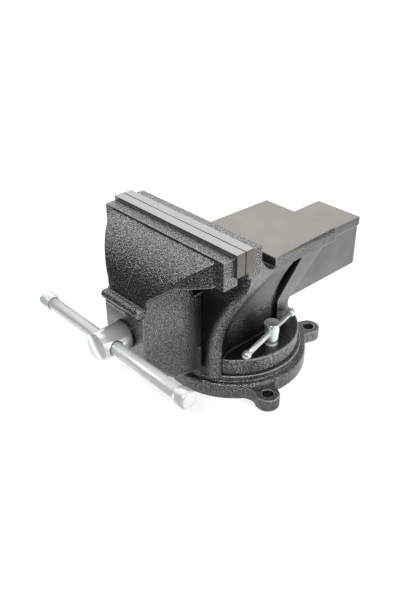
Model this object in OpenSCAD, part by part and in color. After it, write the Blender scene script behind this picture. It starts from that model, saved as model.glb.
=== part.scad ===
// Swivel bench vise: a fixed body with jaw and anvil turns on a bolted base, and a movable jaw
// on a hollow beam is drawn through it by a screw spindle with a sliding tommy bar.
// Millimetres. The origin is the swivel axis on the bench, +Z is up, the spindle head faces -Y.

/* [Jaws] */
// Length of the jaw plates
plate_l = 200; // [170:1:230]
// Thickness of a jaw plate
plate_t = 12; // [9:0.5:14]
// Height of a jaw plate
plate_h = 26; // [22:0.5:30]
// How far a plate stands above its casting
plate_rise = 4; // [1:0.5:8]
// How far a plate reaches past each end of its casting
plate_over = 3; // [0:0.5:8]
// Distance from the swivel axis to the plane where the jaws meet
part_y = 84.6; // [83:0.1:95]
// Gap between the closed jaw plates
jaw_gap = 0.3; // [0.2:0.1:2]
// Thickness of the casting behind a plate
rim_t = 15.3; // [12:0.1:20]
// Height of the jaw rims at their ends
rim_h = 33; // [29:0.5:40]
// Height of the jaw castings above the sliding beam
jaw_rise = 72.4; // [66:0.2:85]
// Depth of the ledge that carries each plate
ledge_d = 4.2; // [2:0.1:7]
// Diameter of the plate screws
plate_screw_d = 10; // [6:0.5:12]
// Distance between the two screws of a plate
plate_screw_span = 120; // [90:1:150]

/* [Base] */
// Radius of the base rim
base_r = 92.5; // [88:0.5:100]
// Height of the base rim
base_rim_h = 20.5; // [17:0.5:24]
// Radius of the raised seat ring
seat_r = 86; // [80:0.5:88]
// Height of the seat that carries the vise body
base_h = 28; // [26:0.5:34]
// Rounding of the rim edge
rim_round = 4; // [1:0.5:6]
// Number of bolt lugs
lug_n = 4; // [3:1:4]
// Bolt circle of the lugs
lug_pcd = 217; // [210:1:230]
// Diameter of the bench bolt holes
lug_hole_d = 13.5; // [9:0.5:16]
// Radius of a lug's round end
lug_r = 14.5; // [12:0.5:18]
// Thickness of a lug
lug_t = 16; // [10:0.5:19]
// Fillet between a lug and the rim
lug_fillet = 16; // [6:1:24]
// Turn of the lugs against the vise body
lug_turn = 67.5; // [0:0.5:90]
// Depth to which the fillets run into the lugs and the rim
blend = 0.3; // [0.1:0.1:1]

/* [Swivel lock] */
// Radius at which the lock screws stand
lock_r = 65; // [64:0.5:68]
// Width of the annular slot for the lock studs
slot_w = 13; // [12.5:0.1:15]
// Width of the wider part of the slot
tee_w = 25; // [24.6:0.2:28]
// Height of the wider part of the slot
tee_h = 10; // [8:0.5:12]
// Thickness of the slot floor
slot_floor = 7; // [5:0.5:9]
// Diameter of the port through which a slot nut is put in
port_d = 24; // [23:0.5:24.5]
// Diameter of a slot nut
tee_nut_d = 22; // [19:0.5:22.5]
// Thickness of a slot nut
tee_nut_t = 8; // [5:0.5:8]
// Diameter of a lock stud
stud_d = 12; // [8:0.5:12]
// Diameter of a lock screw head at its top
lock_head_d = 19.6; // [18:0.2:22]
// Diameter of a lock screw head at its washer
lock_foot_d = 14; // [13:0.5:17]
// Height of a lock screw head above its washer
lock_head_h = 29; // [24:0.5:36]
// Diameter of a lock washer
lock_washer_d = 17; // [15:0.5:20]
// Thickness of a lock washer
lock_washer_t = 2; // [1:0.5:3]
// Diameter of a lock bar
lock_bar_d = 7; // [4:0.5:7]
// Height of a lock bar above the washer
lock_bar_rise = 16.3; // [13:0.1:19]
// Length of a lock bar in front of its screw
lock_bar_front = 63.3; // [45:0.1:66]
// Length of a lock bar behind its screw
lock_bar_back = 53.5; // [35:0.1:55]
// Turn of a lock bar away from the sliding direction
lock_bar_turn = 13.4; // [12:0.2:18]
// Diameter of the knobs on a lock bar
lock_knob_d = 11; // [9.5:0.5:12]

/* [Vise body] */
// Radius of the swivel disc
disc_r = 82; // [81:0.5:84]
// Thickness of the swivel disc
disc_t = 21; // [18:0.5:26]
// Rounding of the disc's top edge
disc_round = 2; // [0.5:0.5:4]
// Radius of the centring spigot
spigot_r = 24; // [20:0.5:28]
// Length of the centring spigot
spigot_l = 18; // [10:0.5:24]
// Width of the column on the disc
column_w = 84; // [82:0.5:90]
// Distance from the swivel axis to the column's rear face
column_rear = 50; // [45:0.5:54]
// Thickness of the column between the disc and the beam
floor_t = 22.5; // [16:0.5:30]
// Width across the yoke's feet
foot_w = 104; // [98:1:112]
// Depth of the yoke's edge behind the jaw plate
yoke_t = 2; // [1:0.5:6]
// Step from the fixed plate's face back to the yoke's front
yoke_setback = 0.5; // [0.3:0.1:4]
// Width of the rounding of the yoke's front
yoke_round = 12; // [8:0.5:16]
// Height below the jaw over which the yoke's front runs back to the plate's seat
yoke_fade = 38; // [25:1:55]
// Step from the jaw's end in to the yoke's edge
yoke_step = 0.5; // [0.5:0.5:12]
// Height above the disc at which the yoke starts to flare
flare_start = 6; // [0:0.5:14]
// Bias of the flare, more keeps the yoke narrow for longer
flare_bias = 1.25; // [0.8:0.05:1.5]
// Height above the disc at which the side hollow starts to lean out
cove_start = 31; // [20:0.5:45]
// Length of the hollow's corner behind the yoke at the disc
hollow_corner = 26; // [16:1:36]
// Width across the feet of the rear ribs
rib_w = 93; // [92:0.5:96]
// Step from the anvil's side in to the head of each rib
rib_inset = 0.3; // [0.2:0.1:1]
// Distance from the column's rear face to the front of the ribs' feet
rib_foot = 20; // [14:0.5:26]
// Height above the disc at which the ribs bend backwards
rib_knee = 39; // [34:0.5:46]
// Rise of the ribs' front edge for each millimetre backwards
rib_front_rise = 2.3; // [2:0.05:2.8]
// Rise of the ribs' rear edge for each millimetre backwards
rib_rear_rise = 1.5; // [1.35:0.01:1.8]
// Width of the groove in front of each rib, at the anvil
groove_w = 16; // [10:0.5:24]
// Width of the groove at the rib's foot
groove_foot = 6; // [4:0.5:10]
// Width across the bottoms of the two grooves
groove_across = 78; // [77:0.5:82]

/* [Anvil] */
// Width of the anvil
anvil_w = 120.4; // [110:0.2:130]
// Distance from the swivel axis to the anvil's front
anvil_front = 6.3; // [2:0.1:14]
// Length of the anvil
anvil_l = 109.6; // [95:0.2:120]
// Thickness of the anvil
anvil_t = 16.7; // [12:0.1:22]
// Clearance between the anvil and the beam behind the ribs
anvil_lift = 2.8; // [1.5:0.1:5]
// Bevel of the anvil's side edges at their front end
bevel_front = 0.4; // [0.2:0.1:2]
// Bevel of the anvil's side edges at their rear end
bevel_rear = 3.8; // [2:0.1:5]
// Height of the saddle above the anvil's underside, at the anvil
saddle_rise = 4; // [2:0.5:8]
// Depth below the jaw's top at which the saddle meets the jaw
saddle_drop = 10; // [6:0.5:14]
// Hollowness of the saddle, 1 is a straight ramp
saddle_curve = 1.5; // [1.1:0.05:2]

/* [Sliding beam] */
// Width of the beam
beam_w = 67; // [65:0.1:68]
// Height of the beam
beam_h = 70.7; // [68:0.1:76]
// Width across the guide rails at the beam's top
rail_w = 71; // [70:0.1:72]
// Height of the guide rails
rail_h = 12.4; // [9:0.1:16]
// Thickness of the beam's side walls
beam_wall = 9; // [6:0.5:9.5]
// Thickness of the beam's roof
beam_roof = 12; // [8:0.5:12.5]
// Length of the beam behind the plane where the jaws meet
beam_l = 283.6; // [260:0.2:320]
// Sliding clearance around the beam
slide_gap = 0.3; // [0.2:0.05:0.5]
// Extra clearance beside the unmachined beam walls
wall_gap = 0.5; // [0.3:0.1:0.8]

/* [Movable jaw] */
// Length of the front block ahead of the plane where the jaws meet
block_l = 82; // [76:0.2:92]
// Distance from the plane where the jaws meet to the block's rear face
block_gap = 1.6; // [1:0.1:6]
// Thickness of the block's front wall
front_wall = 23; // [16:0.5:26]
// Depth of the block's heel below the disc's top
heel_drop = 12; // [6:0.5:15]
// Rise of the block's underside from heel to toe
toe_rise = 10; // [5:0.5:16]
// Length of the block's underside
heel_l = 42; // [34:0.5:48]
// Height of the nose's lower edge below the spindle axis
nose_drop = 22; // [18:0.5:30]
// Distance from the jaw's end in to the tip of a wing
wing_inset = 13; // [8:0.5:20]
// Radius of the apron seen from the side
apron_r = 86; // [70:1:120]
// Radius of the wings seen from above
wing_r = 125; // [95:1:200]
// Depth of the apron's top edge below the rim's top
apron_drop = 3; // [1:0.5:6]
// Height of the block's shoulder above the beam
shoulder_rise = 20; // [14:0.5:24]
// Width of the web that carries the jaw rim
web_w = 44; // [36:1:56]
// Thickness of a wing at its tip
wing_tip_t = 3; // [2:0.25:5]
// How much narrower than the block the nose is, on each side
nose_inset = 2; // [0.5:0.25:5]
// Radius of the roll moulding on the nose
roll_r = 5.4; // [4:0.1:7]
// Height of the roll moulding's axis above the beam's top
roll_rise = 5.8; // [4:0.1:8]
// How far the roll moulding's axis stands ahead of the block's front
roll_out = 0.6; // [-2:0.1:2]
// Radius of the small bead under the roll moulding
bead_r = 2; // [1.5:0.1:3]
// Thickness of the pads at the block's heel
pad_t = 2.4; // [1:0.2:4]

/* [Spindle] */
// Depth of the spindle axis below the beam's top
axis_drop = 33; // [32.5:0.1:35]
// Diameter of the spindle head
head_d = 33; // [30:0.5:38]
// Length of the spindle head
head_l = 37.5; // [32:0.5:46]
// Diameter of the spindle
spindle_d = 26; // [20:0.5:28]
// Distance from the beam's rear end to the spindle's tail
tail_gap = 24; // [10:1:40]
// Thickness of the thrust washer
thrust_t = 2; // [1:0.5:5]
// Outer diameter of the thrust washer
thrust_d = 34; // [33:0.5:42]
// Thickness of the spring washer
spring_washer_t = 3; // [2:0.5:4]
// Outer diameter of the spring washer
spring_washer_d = 38; // [36:0.5:41]
// Length of the spring
spring_l = 28; // [22:0.5:36]
// Wire thickness of the spring
spring_wire = 3.2; // [2:0.1:4]
// Number of turns of the spring
spring_turns = 5; // [3:1:6]
// Diameter of the retaining collar
collar_d = 40; // [36:0.5:41]
// Length of the retaining collar
collar_l = 14; // [10:0.5:18]
// Diameter of the collar pin
collar_pin_d = 6; // [4:0.5:8]
// Length of the spindle nut
nut_l = 54; // [40:1:60]
// Width of the spindle nut's foot
nut_w = 40; // [34:0.5:44]
// Diameter of the spindle nut around the spindle
nut_d = 37; // [35:0.5:38]
// Thickness of the spindle nut's foot
nut_foot_t = 8; // [6:0.5:12]
// Diameter of the nut bolt
nut_bolt_d = 12; // [8:0.5:14]
// Width across the flats of the nut bolt's head
nut_bolt_af = 19; // [16:0.5:22]
// Height of the nut bolt's head
nut_bolt_head = 8; // [6:0.5:9]
// Depth of the nut bolt's recess in the spigot
nut_bolt_recess = 14; // [12:0.5:20]
// Thickness of the nut bolt's washer
nut_washer_t = 2.5; // [1:0.5:3]
// Diameter of the nut bolt's washer
nut_washer_d = 24; // [23:0.5:28]

/* [Tommy bar] */
// Diameter of the tommy bar
bar_d = 15; // [10:0.5:17]
// Length of the tommy bar over its caps
bar_l = 253; // [180:1:320]
// Offset of the tommy bar from its middle at rest
bar_offset = 5; // [-40:1:40]
// Distance from the head's face to the cross hole
cross_hole_y = 16; // [14:0.5:20]
// Diameter of a bar cap
cap_d = 20.5; // [18:0.5:26]
// Length of a bar cap
cap_l = 16; // [12:0.5:22]
// Thickness of a cap's closed end
cap_end = 4; // [2:0.5:6]

/* [Fits] */
// Radial clearance of turning and sliding fits
fit = 0.06; // [0.03:0.01:0.1]
// Clearance between flat faces that turn on each other
face_gap = 0.2; // [0.1:0.05:0.4]
// Radial clearance of screws in their holes
screw_gap = 0.2; // [0.1:0.05:0.4]

/* [Hidden] */
$fn = 96;
eps = 0.01;

// Heights, from the bench upwards
disc_bottom = base_h + face_gap;
disc_top = disc_bottom + disc_t;
channel_floor = disc_top + floor_t;
beam_bottom = channel_floor + slide_gap;
beam_top = beam_bottom + beam_h;
axis_z = beam_top - axis_drop;
anvil_bottom = beam_top + anvil_lift;
anvil_top = anvil_bottom + anvil_t;
jaw_top = beam_top + jaw_rise;
plate_top = jaw_top + plate_rise;
plate_bottom = plate_top - plate_h;
rim_bottom = jaw_top - rim_h;
plate_screw_z = (plate_top + plate_bottom) / 2;

// Places along the sliding direction
fixed_face = -part_y + jaw_gap / 2;
moving_face = -part_y - jaw_gap / 2;
fixed_seat = fixed_face + plate_t;
moving_seat = moving_face - plate_t;
fixed_back = fixed_seat + rim_t;
rim_front = moving_seat - rim_t;
anvil_rear = anvil_front + anvil_l;
beam_rear = -part_y + beam_l;
block_front = -part_y - block_l;
block_rear = -part_y - block_gap;
cavity_front = block_front + front_wall;
head_back = block_front - thrust_t;
head_front = head_back - head_l;
bar_y = head_front + cross_hole_y;
tail_y = beam_rear - tail_gap;
washer_back = cavity_front + spring_washer_t;
collar_front = washer_back + spring_l;
collar_back = collar_front + collar_l;

// Half widths
rim_x = plate_l / 2 - plate_over;
column_x = column_w / 2;
foot_x = foot_w / 2;
yoke_x = rim_x - yoke_step;
anvil_x = anvil_w / 2;
rib_x = rib_w / 2;
groove_x = groove_across / 2;
beam_x = beam_w / 2;
rail_x = rail_w / 2;
cavity_x = beam_x - beam_wall;
wing_x = rim_x - wing_inset;

// Heights of the swivel lock
lock_base_z = disc_top + lock_washer_t;
lock_bar_z = lock_base_z + lock_bar_rise;
tee_nut_z = slot_floor + tee_h - face_gap - tee_nut_t;

// A box between two opposite corners
module box(lo, hi) {
    translate(lo) cube(hi - lo);
}

// A front view outline (x, z) drawn out from y0 to y1
module front_prism(y0, y1) {
    translate([0, y1, 0]) rotate([90, 0, 0]) linear_extrude(y1 - y0) children();
}

// A side view outline (y, z) drawn out from x0 to x1
module side_prism(x0, x1) {
    translate([x0, 0, 0]) rotate([90, 0, 90]) linear_extrude(x1 - x0) children();
}

// A round bar along Y
module rod_y(y0, y1, d) {
    translate([0, y0, axis_z]) rotate([-90, 0, 0]) cylinder(d = d, h = y1 - y0);
}

// Children on both sides of the middle plane
module both_sides() {
    children();
    mirror([1, 0, 0]) children();
}

function clamp(t) = min(1, max(0, t));
function mix(a, b, t) = a + (b - a) * t;
function ease(t) = let (c = clamp(t)) c * c * (3 - 2 * c);

// Centre of a circle of radius r through the points a and b, to the right of the way from a to b
function arc_centre(a, b, r) =
    let (way = b - a, far = norm(way))
    (a + b) / 2 + [way[1], -way[0]] / far * sqrt(r * r - far * far / 4);

// Swivel base: a round casting with bolt lugs, an annular tee slot and a centring bore

function lug_angle(i) = lug_turn + i * 360 / lug_n;

module base_section() {
    square([seat_r, base_h]);
    square([base_r, base_rim_h - rim_round]);
    square([base_r - rim_round, base_rim_h]);
    translate([base_r - rim_round, base_rim_h - rim_round]) circle(rim_round);
}

module lug_outline() {
    reach = lug_pcd / 2;
    web = lug_r - blend;
    fillet_x = sqrt(pow(base_r - blend + lug_fillet, 2) - pow(web + lug_fillet, 2));
    fillet_c = [fillet_x, web + lug_fillet];
    translate([reach, 0]) circle(lug_r);
    translate([0, -lug_r]) square([reach, 2 * lug_r]);
    for (side = [1, -1])
        mirror([0, side < 0 ? 1 : 0, 0])
            difference() {
                polygon([[0, 0], [fillet_x, 0], [fillet_x, web], fillet_c, fillet_c * (base_r - blend) / norm(fillet_c)]);
                translate(fillet_c) circle(lug_fillet);
            }
}

module swivel_base() {
    color("dimgray")
        difference() {
            union() {
                rotate_extrude() base_section();
                for (i = [0 : lug_n - 1])
                    rotate(lug_angle(i)) linear_extrude(lug_t) lug_outline();
            }
            for (i = [0 : lug_n - 1])
                rotate(lug_angle(i)) translate([lug_pcd / 2, 0, -1]) cylinder(d = lug_hole_d, h = lug_t + 2);
            translate([0, 0, -1]) cylinder(r = spigot_r + fit, h = base_h + 2);
            rotate_extrude() {
                translate([lock_r - tee_w / 2, slot_floor]) square([tee_w, tee_h]);
                translate([lock_r - slot_w / 2, slot_floor]) square([slot_w, base_h]);
            }
            translate([0, lock_r, -1]) cylinder(d = port_d, h = slot_floor + 2);
        }
}

// Vise body: swivel disc, column, flaring yoke with the fixed jaw, rear ribs and anvil in one casting

cove_z = disc_top + cove_start;
cove_lean = anvil_x - column_x;
cove_r = (pow(cove_lean, 2) + pow(anvil_bottom - cove_z, 2)) / (2 * cove_lean);
rib_foot_y = column_rear - rib_foot;
rib_knee_z = disc_top + rib_knee;
saddle_low = anvil_bottom + saddle_rise;
saddle_high = jaw_top - saddle_drop;
edge_back = fixed_seat + yoke_t;
yoke_front = fixed_face + yoke_setback;
loft_bottom = disc_bottom;
loft_top = anvil_bottom + saddle_rise / 2;
loft_rows = 20;
round_steps = 5;
wall_steps = 12;
groove_steps = 6;
loft_steps = round_steps + wall_steps + groove_steps;

// Half width of the yoke's edge at height z
function yoke_edge(z) =
    let (t = clamp((z - disc_top - flare_start) / (rim_bottom - disc_top - flare_start)))
    mix(foot_x, yoke_x, ease(pow(t, flare_bias)));

// Front of the yoke at height z
function yoke_face(z) = mix(fixed_seat, yoke_front, ease((rim_bottom - ledge_d - z) / yoke_fade));

// Half width of the hollow side wall at height z
function hollow_side(z) =
    z <= cove_z ? column_x
    : z >= anvil_bottom ? anvil_x
    : column_x + cove_r - sqrt(pow(cove_r, 2) - pow(z - cove_z, 2));

// Front edge of the ribs at height z
function rib_front(z) = rib_foot_y + max(0, z - rib_knee_z) / rib_front_rise;

// Width of the groove in front of the ribs at height z
function groove(z) = mix(groove_foot, groove_w, clamp((z - rib_knee_z) / (anvil_bottom - rib_knee_z)));

// Height of the saddle between the jaw and the anvil
function saddle(y) =
    y <= fixed_back ? saddle_high
    : y >= anvil_front ? loft_top
    : mix(saddle_low, saddle_high, pow((anvil_front - y) / (anvil_front - fixed_back), saddle_curve));

// Half width of the casting between the yoke and the ribs
function side(y, z) =
    let (
        up = ease((z - cove_z) / (saddle_low - cove_z)),
        corner_end = mix(edge_back + hollow_corner, anvil_front, up),
        near_yoke = pow(clamp(1 - (y - edge_back) / (corner_end - edge_back)), 2 - up),
        near_rib = ease(1.5 - 1.5 * (rib_front(z) - y) / groove(z))
    )
    mix(mix(hollow_side(z), yoke_edge(z), near_yoke), groove_x, near_rib);

// A point of the yoke's rounded front: row r from the disc up, step s from the front to the edge
function round_point(r, s, hand) =
    let (
        z = mix(loft_bottom, saddle_high, r / loft_rows),
        turn = 90 * s / round_steps
    )
    [
        hand * (yoke_edge(z) - yoke_round * (1 - sin(turn))),
        edge_back - (edge_back - yoke_face(z)) * cos(turn),
        z
    ];

// A point of the hollow sides: row r from the disc up, step s from the yoke's edge back
function side_point(r, s, hand) =
    let (
        rear_z = mix(loft_bottom, loft_top, r / loft_rows),
        rib_y = rib_front(rear_z),
        groove_y = rib_y - groove(rear_z),
        y = s <= wall_steps
            ? mix(edge_back, groove_y, s / wall_steps)
            : mix(groove_y, rib_y + rib_foot / 4, (s - wall_steps) / groove_steps),
        z = mix(loft_bottom, saddle(y), r / loft_rows)
    )
    [hand * side(min(y, rib_y), z), y, z];

// A point of the loft on side 1 or -1
function loft_point(r, s, hand) =
    s < round_steps ? round_point(r, s, hand) : side_point(r, s - round_steps, hand);

// Number of a point in the loft: hand 0 is +X and hand 1 is -X
function loft_id(r, s, hand) = (hand * (loft_rows + 1) + r) * (loft_steps + 1) + s;

// Two triangles for the four corners of a patch
function patch(a, b, c, d) = [[a, b, c], [a, c, d]];

module yoke_and_sides() {
    rows = [0 : loft_rows];
    steps = [0 : loft_steps];
    last_r = loft_rows;
    last_s = loft_steps;
    points = [for (hand = [1, -1]) for (r = rows) for (s = steps) loft_point(r, s, hand)];
    right = [for (r = [0 : last_r - 1]) for (s = [0 : last_s - 1])
        each patch(loft_id(r, s, 0), loft_id(r + 1, s, 0), loft_id(r + 1, s + 1, 0), loft_id(r, s + 1, 0))];
    left = [for (r = [0 : last_r - 1]) for (s = [0 : last_s - 1])
        each patch(loft_id(r, s, 1), loft_id(r, s + 1, 1), loft_id(r + 1, s + 1, 1), loft_id(r + 1, s, 1))];
    ends = [for (r = [0 : last_r - 1]) each concat(
        patch(loft_id(r, 0, 0), loft_id(r, 0, 1), loft_id(r + 1, 0, 1), loft_id(r + 1, 0, 0)),
        patch(loft_id(r, last_s, 0), loft_id(r + 1, last_s, 0), loft_id(r + 1, last_s, 1), loft_id(r, last_s, 1)))];
    caps = [for (s = [0 : last_s - 1]) each concat(
        patch(loft_id(0, s, 0), loft_id(0, s + 1, 0), loft_id(0, s + 1, 1), loft_id(0, s, 1)),
        patch(loft_id(last_r, s, 0), loft_id(last_r, s, 1), loft_id(last_r, s + 1, 1), loft_id(last_r, s + 1, 0)))];
    polyhedron(points, concat(right, left, ends, caps));
}

module disc_section() {
    square([disc_r - disc_round, disc_t]);
    square([disc_r, disc_t - disc_round]);
    translate([disc_r - disc_round, disc_t - disc_round]) circle(disc_round);
}

module rear_ribs() {
    head_x = anvil_x - rib_inset;
    rib_top_z = anvil_bottom + anvil_t / 2;
    rear_knee_z = channel_floor + slide_gap + rib_w / 10;
    intersection() {
        side_prism(-head_x, head_x)
            polygon([
                [rib_foot_y, loft_bottom],
                [rib_front(rib_knee_z), rib_knee_z],
                [rib_front(rib_top_z), rib_top_z],
                [column_rear + (rib_top_z - rear_knee_z) / rib_rear_rise, rib_top_z],
                [column_rear, rear_knee_z],
                [column_rear, loft_bottom]
            ]);
        translate([0, anvil_rear, 0]) rotate([90, 0, 0]) linear_extrude(height = anvil_rear)
            polygon([
                [-rib_x, 0],
                [rib_x, 0],
                [rib_x, rib_knee_z],
                [head_x, anvil_bottom],
                [head_x, anvil_top],
                [-head_x, anvil_top],
                [-head_x, anvil_bottom],
                [-rib_x, rib_knee_z]
            ]);
    }
}

module anvil() {
    taper = atan((bevel_rear - bevel_front) / anvil_l * cos(45));
    difference() {
        box([-anvil_x, anvil_front, anvil_bottom], [anvil_x, anvil_rear, anvil_top]);
        both_sides()
            translate([anvil_x - bevel_front, anvil_front, anvil_top])
                rotate([0, -45, 0]) rotate([0, 0, taper])
                    box([0, -anvil_l, -anvil_l], [anvil_l, 2 * anvil_l, anvil_l]);
    }
}

module beam_channel() {
    x = beam_x + wall_gap;
    box([-x, -part_y - beam_l, channel_floor], [x, beam_rear + beam_l, beam_top + slide_gap]);
    box(
        [-rail_x - slide_gap, -part_y - beam_l, beam_top - rail_h - slide_gap],
        [rail_x + slide_gap, beam_rear + beam_l, beam_top + slide_gap]
    );
}

// The two screws of a plate point along dir from the plate's face
module plate_screw_places(face, dir) {
    for (side = [-1, 1])
        translate([side * plate_screw_span / 2, face, plate_screw_z])
            rotate([dir > 0 ? -90 : 90, 0, 0]) children();
}

plate_screw_head_d = 1.6 * plate_screw_d;
plate_screw_head_h = 0.55 * plate_t;
plate_screw_sink = 0.05 * plate_t;
plate_screw_l = plate_t + 0.75 * rim_t;

module plate_screw_hole() {
    translate([0, 0, -1]) cylinder(d = plate_screw_d + 2 * screw_gap, h = plate_screw_l + 2);
}

module plate_head_hole() {
    translate([0, 0, -1])
        cylinder(d = plate_screw_head_d + 2 * screw_gap, h = plate_screw_sink + plate_screw_head_h + 1);
}

module plate_screw() {
    difference() {
        union() {
            translate([0, 0, plate_screw_sink]) cylinder(d = plate_screw_head_d, h = plate_screw_head_h);
            translate([0, 0, plate_screw_sink]) cylinder(d = plate_screw_d, h = plate_screw_l - plate_screw_sink);
        }
        translate([0, 0, plate_screw_sink - 1])
            cylinder(d = 0.9 * plate_screw_d, h = plate_screw_head_h * 0.6 + 1, $fn = 6);
    }
}

module lock_places(hand) {
    translate([hand * lock_r, 0, 0]) children();
}

module vise_body() {
    color("gray")
        difference() {
            union() {
                translate([0, 0, disc_bottom]) rotate_extrude() disc_section();
                translate([0, 0, base_h - spigot_l]) cylinder(r = spigot_r, h = spigot_l + disc_t / 2);
                yoke_and_sides();
                rear_ribs();
                anvil();
                box([-rim_x, fixed_seat, rim_bottom], [rim_x, fixed_back, jaw_top]);
                box([-rim_x, fixed_seat - ledge_d, rim_bottom], [rim_x, fixed_back, plate_bottom]);
            }
            beam_channel();
            plate_screw_places(fixed_face, 1) plate_screw_hole();
            translate([0, 0, base_h - spigot_l - 1]) cylinder(d = nut_bolt_d + 2 * screw_gap, h = channel_floor);
            translate([0, 0, base_h - spigot_l - 1])
                cylinder(d = nut_washer_d + 4 * screw_gap, h = nut_bolt_recess + 1);
            for (hand = [-1, 1])
                lock_places(hand) translate([0, 0, base_h - 1])
                    cylinder(d = stud_d + 2 * screw_gap, h = disc_t + 2);
        }
}

// Jaw plates: ground steel bars with a milled grip, each held by two socket screws

module jaw_plate(face, dir) {
    y = dir > 0 ? [face, face + plate_t] : [face - plate_t, face];
    difference() {
        box([-plate_l / 2, y[0], plate_bottom], [plate_l / 2, y[1], plate_top]);
        plate_screw_places(face, dir) {
            plate_screw_hole();
            plate_head_hole();
        }
    }
}

module fixed_jaw_plate() {
    color("silver") jaw_plate(fixed_face, 1);
}

module movable_jaw_plate() {
    color("silver") jaw_plate(moving_face, -1);
}

module fixed_jaw_screws() {
    color("darkslategray") plate_screw_places(fixed_face, 1) plate_screw();
}

module movable_jaw_screws() {
    color("darkslategray") plate_screw_places(moving_face, -1) plate_screw();
}

// Movable jaw: rim, winged apron, front block and the hollow guide beam in one casting

apron_c = arc_centre(
    [block_front + roll_r / 2, beam_top + roll_rise + roll_r / 2],
    [rim_front, jaw_top - apron_drop],
    apron_r
);
nose_x = beam_x - nose_inset;
wing_c = arc_centre([wing_x, rim_front - wing_tip_t], [nose_x, block_front + roll_r], wing_r);
shoulder_z = beam_top + shoulder_rise;
heel_z = disc_top - heel_drop;

module apron() {
    intersection() {
        side_prism(-wing_x, wing_x) translate(apron_c) circle(apron_r);
        translate([0, 0, beam_bottom])
            linear_extrude(jaw_top - beam_bottom)
                intersection() {
                    translate([wing_c[0], wing_c[1]]) circle(wing_r);
                    translate([-wing_c[0], wing_c[1]]) circle(wing_r);
                }
        front_prism(block_front - roll_r, moving_seat)
            polygon([
                [-beam_x, axis_z], [beam_x, axis_z], [beam_x, shoulder_z],
                [mix(beam_x, wing_x, 0.5), rim_bottom], [wing_x, rim_bottom], [wing_x, jaw_top],
                [-wing_x, jaw_top], [-wing_x, rim_bottom], [-mix(beam_x, wing_x, 0.5), rim_bottom],
                [-beam_x, shoulder_z]
            ]);
    }
}

module front_block() {
    shoulder_y = mix(block_front, block_rear, 0.4);
    side_prism(-beam_x, beam_x)
        polygon([
            [block_front, axis_z - nose_drop],
            [block_rear - heel_l, heel_z + toe_rise],
            [block_rear, heel_z],
            [block_rear, beam_top],
            [mix(shoulder_y, block_rear, 0.7), beam_top],
            [shoulder_y, shoulder_z],
            [block_front + 2 * roll_r, shoulder_z],
            [block_front, beam_top + roll_rise - roll_r]
        ]);
}

module nose_mouldings() {
    translate([0, block_front - roll_out, beam_top + roll_rise])
        rotate([0, 90, 0]) cylinder(r = roll_r, h = 2 * nose_x, center = true);
    translate([0, block_front + bead_r / 4, beam_top + roll_rise - roll_r - 2 * bead_r])
        rotate([0, 90, 0]) cylinder(r = bead_r, h = 2 * nose_x - bead_r, center = true);
}

module guide_beam() {
    box([-beam_x, block_rear - 1, beam_bottom], [beam_x, beam_rear - wall_gap, beam_top]);
    box([-rail_x, fixed_seat - ledge_d, beam_top - rail_h], [rail_x, beam_rear, beam_top]);
}

module movable_jaw() {
    color("gray")
        difference() {
            union() {
                box([-rim_x, rim_front, rim_bottom], [rim_x, moving_seat, jaw_top]);
                box([-rim_x, rim_front, rim_bottom], [rim_x, moving_seat + ledge_d, plate_bottom]);
                apron();
                front_block();
                nose_mouldings();
                guide_beam();
                box([-web_w / 2, cavity_front, axis_z + collar_d / 2], [web_w / 2, moving_seat, rim_bottom + 1]);
                both_sides()
                    box([0, block_rear - 2 * pad_t, heel_z], [beam_x + pad_t, block_rear, beam_bottom]);
            }
            box([-cavity_x, cavity_front, -1], [cavity_x, 2 * beam_rear, beam_top - beam_roof]);
            rod_y(block_front - head_l, cavity_front + 1, spindle_d + 2 * fit);
            plate_screw_places(moving_face, -1) plate_screw_hole();
        }
}

// Spindle: screw with a drilled head, held in the front wall by washers, a spring and a pinned collar

module spindle() {
    head_r = head_d / 2;
    chamfer = head_d / 16;
    color("gainsboro")
        difference() {
            translate([0, head_front, axis_z]) rotate([-90, 0, 0])
                rotate_extrude()
                    polygon([
                        [0, 0], [head_r - chamfer, 0], [head_r, chamfer], [head_r, head_l],
                        [spindle_d / 2, head_l], [spindle_d / 2, tail_y - head_front], [0, tail_y - head_front]
                    ]);
            translate([0, bar_y, axis_z]) rotate([0, 90, 0])
                cylinder(d = bar_d + 2 * fit, h = 2 * head_d, center = true);
            translate([0, (collar_front + collar_back) / 2, axis_z])
                cylinder(d = collar_pin_d + 2 * fit, h = 2 * collar_d, center = true);
        }
}

module ring_y(y0, y1, outer) {
    difference() {
        rod_y(y0, y1, outer);
        rod_y(y0 - 1, y1 + 1, spindle_d + 2 * fit);
    }
}

module thrust_washer() {
    color("lightgray") ring_y(head_back + eps, block_front - eps, thrust_d);
}

module spring_washer() {
    color("lightgray") ring_y(cavity_front + eps, washer_back - eps, spring_washer_d);
}

module retaining_collar() {
    color("slategray")
        difference() {
            ring_y(collar_front, collar_back, collar_d);
            translate([0, (collar_front + collar_back) / 2, axis_z])
                cylinder(d = collar_pin_d + 2 * fit, h = 2 * collar_d, center = true);
        }
}

module collar_pin() {
    color("lightgray")
        translate([0, (collar_front + collar_back) / 2, axis_z])
            cylinder(d = collar_pin_d, h = collar_d - 1, center = true);
}

// The spring is one round wire swept along a helix around the spindle
spring_sides = 6;
spring_steps = 16;
spring_rings = spring_steps * spring_turns;
spring_mean_r = (spindle_d + spring_wire) / 2 + 3 * screw_gap;
spring_run = spring_l - spring_wire - 2 * screw_gap;

function spring_centre(i) =
    let (a = i * 360 * spring_turns / spring_rings)
    [
        spring_mean_r * cos(a),
        washer_back + screw_gap + spring_wire / 2 + spring_run * i / spring_rings,
        axis_z + spring_mean_r * sin(a)
    ];

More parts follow.
